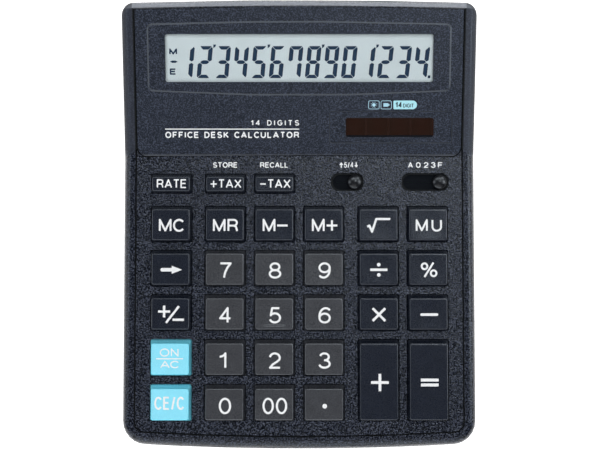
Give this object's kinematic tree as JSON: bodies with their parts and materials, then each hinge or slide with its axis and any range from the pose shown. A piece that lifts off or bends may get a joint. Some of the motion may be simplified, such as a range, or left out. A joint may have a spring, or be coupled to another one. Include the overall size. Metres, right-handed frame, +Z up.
{
  "type": "desk calculator",
  "caption": "Desk calculator with a sloping keyboard, a steeper display panel with solar cell, two slide selectors and a sliding battery door.",
  "frame": {"origin": "on the table, under the centre of the case's footprint", "axes": "+X to the user's right, +Y away from the user towards the display, +Z up"},
  "size_m": [0.153, 0.192, 0.0329],
  "materials": {
    "case": "matte",
    "panel": "matte",
    "base": "matte",
    "lens": "gloss",
    "foam": "matte",
    "lcd": "satin",
    "holder": "matte",
    "flex": "satin",
    "solar": "gloss",
    "wire_red": "satin",
    "wire_black": "satin",
    "board": "satin",
    "epoxy": "gloss",
    "can": "gloss",
    "keypad_rubber": "matte",
    "cell_steel": "polished",
    "spring_steel": "satin",
    "contact_brass": "satin",
    "screw_steel": "satin",
    "feet_rubber": "matte",
    "knob": "gloss",
    "key_function": "satin",
    "key_digit": "satin",
    "key_clear": "satin"
  },
  "bodies": {
    "case": {"top_case": "case", "display_panel": "panel", "bottom_case": "base", "lcd_window": "lens", "lcd_gasket": "foam", "lcd_glass": "lcd", "lcd_holder": "holder", "lcd_ribbon": "flex", "solar_cell": "solar", "solar_leads": "wire_red", "main_pcb": "board", "controller_chip": "epoxy", "capacitor": "can", "rubber_keypad": "keypad_rubber", "button_cell": "cell_steel", "battery_contact_plus": "spring_steel", "battery_contact_minus": "spring_steel", "battery_leads": "wire_black", "case_screws": "screw_steel", "pcb_screws": "screw_steel", "rubber_feet": "feet_rubber"},
    "rounding_selector": {"rounding_slider": "knob", "rounding_wiper": "contact_brass"},
    "decimal_selector": {"decimal_slider": "knob", "decimal_wiper": "contact_brass"},
    "battery_door": {"battery_cover": "base"},
    "key_rate_cap": {"key_rate": "key_function"},
    "key_tax_plus_cap": {"key_tax_plus": "key_function"},
    "key_tax_minus_cap": {"key_tax_minus": "key_function"},
    "key_mc_cap": {"key_mc": "key_function"},
    "key_mr_cap": {"key_mr": "key_function"},
    "key_m_minus_cap": {"key_m_minus": "key_function"},
    "key_m_plus_cap": {"key_m_plus": "key_function"},
    "key_sqrt_cap": {"key_sqrt": "key_function"},
    "key_mu_cap": {"key_mu": "key_function"},
    "key_backspace_cap": {"key_backspace": "key_function"},
    "key_7_cap": {"key_7": "key_digit"},
    "key_8_cap": {"key_8": "key_digit"},
    "key_9_cap": {"key_9": "key_digit"},
    "key_divide_cap": {"key_divide": "key_function"},
    "key_percent_cap": {"key_percent": "key_function"},
    "key_sign_cap": {"key_sign": "key_function"},
    "key_4_cap": {"key_4": "key_digit"},
    "key_5_cap": {"key_5": "key_digit"},
    "key_6_cap": {"key_6": "key_digit"},
    "key_multiply_cap": {"key_multiply": "key_function"},
    "key_minus_cap": {"key_minus": "key_function"},
    "key_on_ac_cap": {"key_on_ac": "key_clear"},
    "key_1_cap": {"key_1": "key_digit"},
    "key_2_cap": {"key_2": "key_digit"},
    "key_3_cap": {"key_3": "key_digit"},
    "key_ce_c_cap": {"key_ce_c": "key_clear"},
    "key_0_cap": {"key_0": "key_digit"},
    "key_00_cap": {"key_00": "key_digit"},
    "key_decimal_cap": {"key_decimal": "key_digit"},
    "key_plus_cap": {"key_plus": "key_function"},
    "key_equals_cap": {"key_equals": "key_function"}
  },
  "joints": [
    {"name": "rounding_slide", "type": "slide", "parent": "case", "child": "rounding_selector", "axis": [-1, 0, 0], "range_m": [0, 0.0063]},
    {"name": "decimal_slide", "type": "slide", "parent": "case", "child": "decimal_selector", "axis": [-1, 0, 0], "range_m": [0, 0.0126]},
    {"name": "battery_door_slide", "type": "slide", "parent": "case", "child": "battery_door", "axis": [0, 1, 0], "range_m": [0, 0.03]},
    {"name": "press_rate", "type": "slide", "parent": "case", "child": "key_rate_cap", "axis": [0, 0.0523, -0.9986], "range_m": [0, 0.0016], "stiffness_N_per_m": 300, "springref_m": -0.0005, "deforming": ["rubber_keypad"]},
    {"name": "press_tax_plus", "type": "slide", "parent": "case", "child": "key_tax_plus_cap", "axis": [0, 0.0523, -0.9986], "range_m": [0, 0.0016], "stiffness_N_per_m": 300, "springref_m": -0.0005, "deforming": ["rubber_keypad"]},
    {"name": "press_tax_minus", "type": "slide", "parent": "case", "child": "key_tax_minus_cap", "axis": [0, 0.0523, -0.9986], "range_m": [0, 0.0016], "stiffness_N_per_m": 300, "springref_m": -0.0005, "deforming": ["rubber_keypad"]},
    {"name": "press_mc", "type": "slide", "parent": "case", "child": "key_mc_cap", "axis": [0, 0.0523, -0.9986], "range_m": [0, 0.0016], "stiffness_N_per_m": 300, "springref_m": -0.0005, "deforming": ["rubber_keypad"]},
    {"name": "press_mr", "type": "slide", "parent": "case", "child": "key_mr_cap", "axis": [0, 0.0523, -0.9986], "range_m": [0, 0.0016], "stiffness_N_per_m": 300, "springref_m": -0.0005, "deforming": ["rubber_keypad"]},
    {"name": "press_m_minus", "type": "slide", "parent": "case", "child": "key_m_minus_cap", "axis": [0, 0.0523, -0.9986], "range_m": [0, 0.0016], "stiffness_N_per_m": 300, "springref_m": -0.0005, "deforming": ["rubber_keypad"]},
    {"name": "press_m_plus", "type": "slide", "parent": "case", "child": "key_m_plus_cap", "axis": [0, 0.0523, -0.9986], "range_m": [0, 0.0016], "stiffness_N_per_m": 300, "springref_m": -0.0005, "deforming": ["rubber_keypad"]},
    {"name": "press_sqrt", "type": "slide", "parent": "case", "child": "key_sqrt_cap", "axis": [0, 0.0523, -0.9986], "range_m": [0, 0.0016], "stiffness_N_per_m": 300, "springref_m": -0.0005, "deforming": ["rubber_keypad"]},
    {"name": "press_mu", "type": "slide", "parent": "case", "child": "key_mu_cap", "axis": [0, 0.0523, -0.9986], "range_m": [0, 0.0016], "stiffness_N_per_m": 300, "springref_m": -0.0005, "deforming": ["rubber_keypad"]},
    {"name": "press_backspace", "type": "slide", "parent": "case", "child": "key_backspace_cap", "axis": [0, 0.0523, -0.9986], "range_m": [0, 0.0016], "stiffness_N_per_m": 300, "springref_m": -0.0005, "deforming": ["rubber_keypad"]},
    {"name": "press_7", "type": "slide", "parent": "case", "child": "key_7_cap", "axis": [0, 0.0523, -0.9986], "range_m": [0, 0.0016], "stiffness_N_per_m": 300, "springref_m": -0.0005, "deforming": ["rubber_keypad"]},
    {"name": "press_8", "type": "slide", "parent": "case", "child": "key_8_cap", "axis": [0, 0.0523, -0.9986], "range_m": [0, 0.0016], "stiffness_N_per_m": 300, "springref_m": -0.0005, "deforming": ["rubber_keypad"]},
    {"name": "press_9", "type": "slide", "parent": "case", "child": "key_9_cap", "axis": [0, 0.0523, -0.9986], "range_m": [0, 0.0016], "stiffness_N_per_m": 300, "springref_m": -0.0005, "deforming": ["rubber_keypad"]},
    {"name": "press_divide", "type": "slide", "parent": "case", "child": "key_divide_cap", "axis": [0, 0.0523, -0.9986], "range_m": [0, 0.0016], "stiffness_N_per_m": 300, "springref_m": -0.0005, "deforming": ["rubber_keypad"]},
    {"name": "press_percent", "type": "slide", "parent": "case", "child": "key_percent_cap", "axis": [0, 0.0523, -0.9986], "range_m": [0, 0.0016], "stiffness_N_per_m": 300, "springref_m": -0.0005, "deforming": ["rubber_keypad"]},
    {"name": "press_sign", "type": "slide", "parent": "case", "child": "key_sign_cap", "axis": [0, 0.0523, -0.9986], "range_m": [0, 0.0016], "stiffness_N_per_m": 300, "springref_m": -0.0005, "deforming": ["rubber_keypad"]},
    {"name": "press_4", "type": "slide", "parent": "case", "child": "key_4_cap", "axis": [0, 0.0523, -0.9986], "range_m": [0, 0.0016], "stiffness_N_per_m": 300, "springref_m": -0.0005, "deforming": ["rubber_keypad"]},
    {"name": "press_5", "type": "slide", "parent": "case", "child": "key_5_cap", "axis": [0, 0.0523, -0.9986], "range_m": [0, 0.0016], "stiffness_N_per_m": 300, "springref_m": -0.0005, "deforming": ["rubber_keypad"]},
    {"name": "press_6", "type": "slide", "parent": "case", "child": "key_6_cap", "axis": [0, 0.0523, -0.9986], "range_m": [0, 0.0016], "stiffness_N_per_m": 300, "springref_m": -0.0005, "deforming": ["rubber_keypad"]},
    {"name": "press_multiply", "type": "slide", "parent": "case", "child": "key_multiply_cap", "axis": [0, 0.0523, -0.9986], "range_m": [0, 0.0016], "stiffness_N_per_m": 300, "springref_m": -0.0005, "deforming": ["rubber_keypad"]},
    {"name": "press_minus", "type": "slide", "parent": "case", "child": "key_minus_cap", "axis": [0, 0.0523, -0.9986], "range_m": [0, 0.0016], "stiffness_N_per_m": 300, "springref_m": -0.0005, "deforming": ["rubber_keypad"]},
    {"name": "press_on_ac", "type": "slide", "parent": "case", "child": "key_on_ac_cap", "axis": [0, 0.0523, -0.9986], "range_m": [0, 0.0016], "stiffness_N_per_m": 300, "springref_m": -0.0005, "deforming": ["rubber_keypad"]},
    {"name": "press_1", "type": "slide", "parent": "case", "child": "key_1_cap", "axis": [0, 0.0523, -0.9986], "range_m": [0, 0.0016], "stiffness_N_per_m": 300, "springref_m": -0.0005, "deforming": ["rubber_keypad"]},
    {"name": "press_2", "type": "slide", "parent": "case", "child": "key_2_cap", "axis": [0, 0.0523, -0.9986], "range_m": [0, 0.0016], "stiffness_N_per_m": 300, "springref_m": -0.0005, "deforming": ["rubber_keypad"]},
    {"name": "press_3", "type": "slide", "parent": "case", "child": "key_3_cap", "axis": [0, 0.0523, -0.9986], "range_m": [0, 0.0016], "stiffness_N_per_m": 300, "springref_m": -0.0005, "deforming": ["rubber_keypad"]},
    {"name": "press_ce_c", "type": "slide", "parent": "case", "child": "key_ce_c_cap", "axis": [0, 0.0523, -0.9986], "range_m": [0, 0.0016], "stiffness_N_per_m": 300, "springref_m": -0.0005, "deforming": ["rubber_keypad"]},
    {"name": "press_0", "type": "slide", "parent": "case", "child": "key_0_cap", "axis": [0, 0.0523, -0.9986], "range_m": [0, 0.0016], "stiffness_N_per_m": 300, "springref_m": -0.0005, "deforming": ["rubber_keypad"]},
    {"name": "press_00", "type": "slide", "parent": "case", "child": "key_00_cap", "axis": [0, 0.0523, -0.9986], "range_m": [0, 0.0016], "stiffness_N_per_m": 300, "springref_m": -0.0005, "deforming": ["rubber_keypad"]},
    {"name": "press_decimal", "type": "slide", "parent": "case", "child": "key_decimal_cap", "axis": [0, 0.0523, -0.9986], "range_m": [0, 0.0016], "stiffness_N_per_m": 300, "springref_m": -0.0005, "deforming": ["rubber_keypad"]},
    {"name": "press_plus", "type": "slide", "parent": "case", "child": "key_plus_cap", "axis": [0, 0.0523, -0.9986], "range_m": [0, 0.0016], "stiffness_N_per_m": 300, "springref_m": -0.0005, "deforming": ["rubber_keypad"]},
    {"name": "press_equals", "type": "slide", "parent": "case", "child": "key_equals_cap", "axis": [0, 0.0523, -0.9986], "range_m": [0, 0.0016], "stiffness_N_per_m": 300, "springref_m": -0.0005, "deforming": ["rubber_keypad"]}
  ]
}
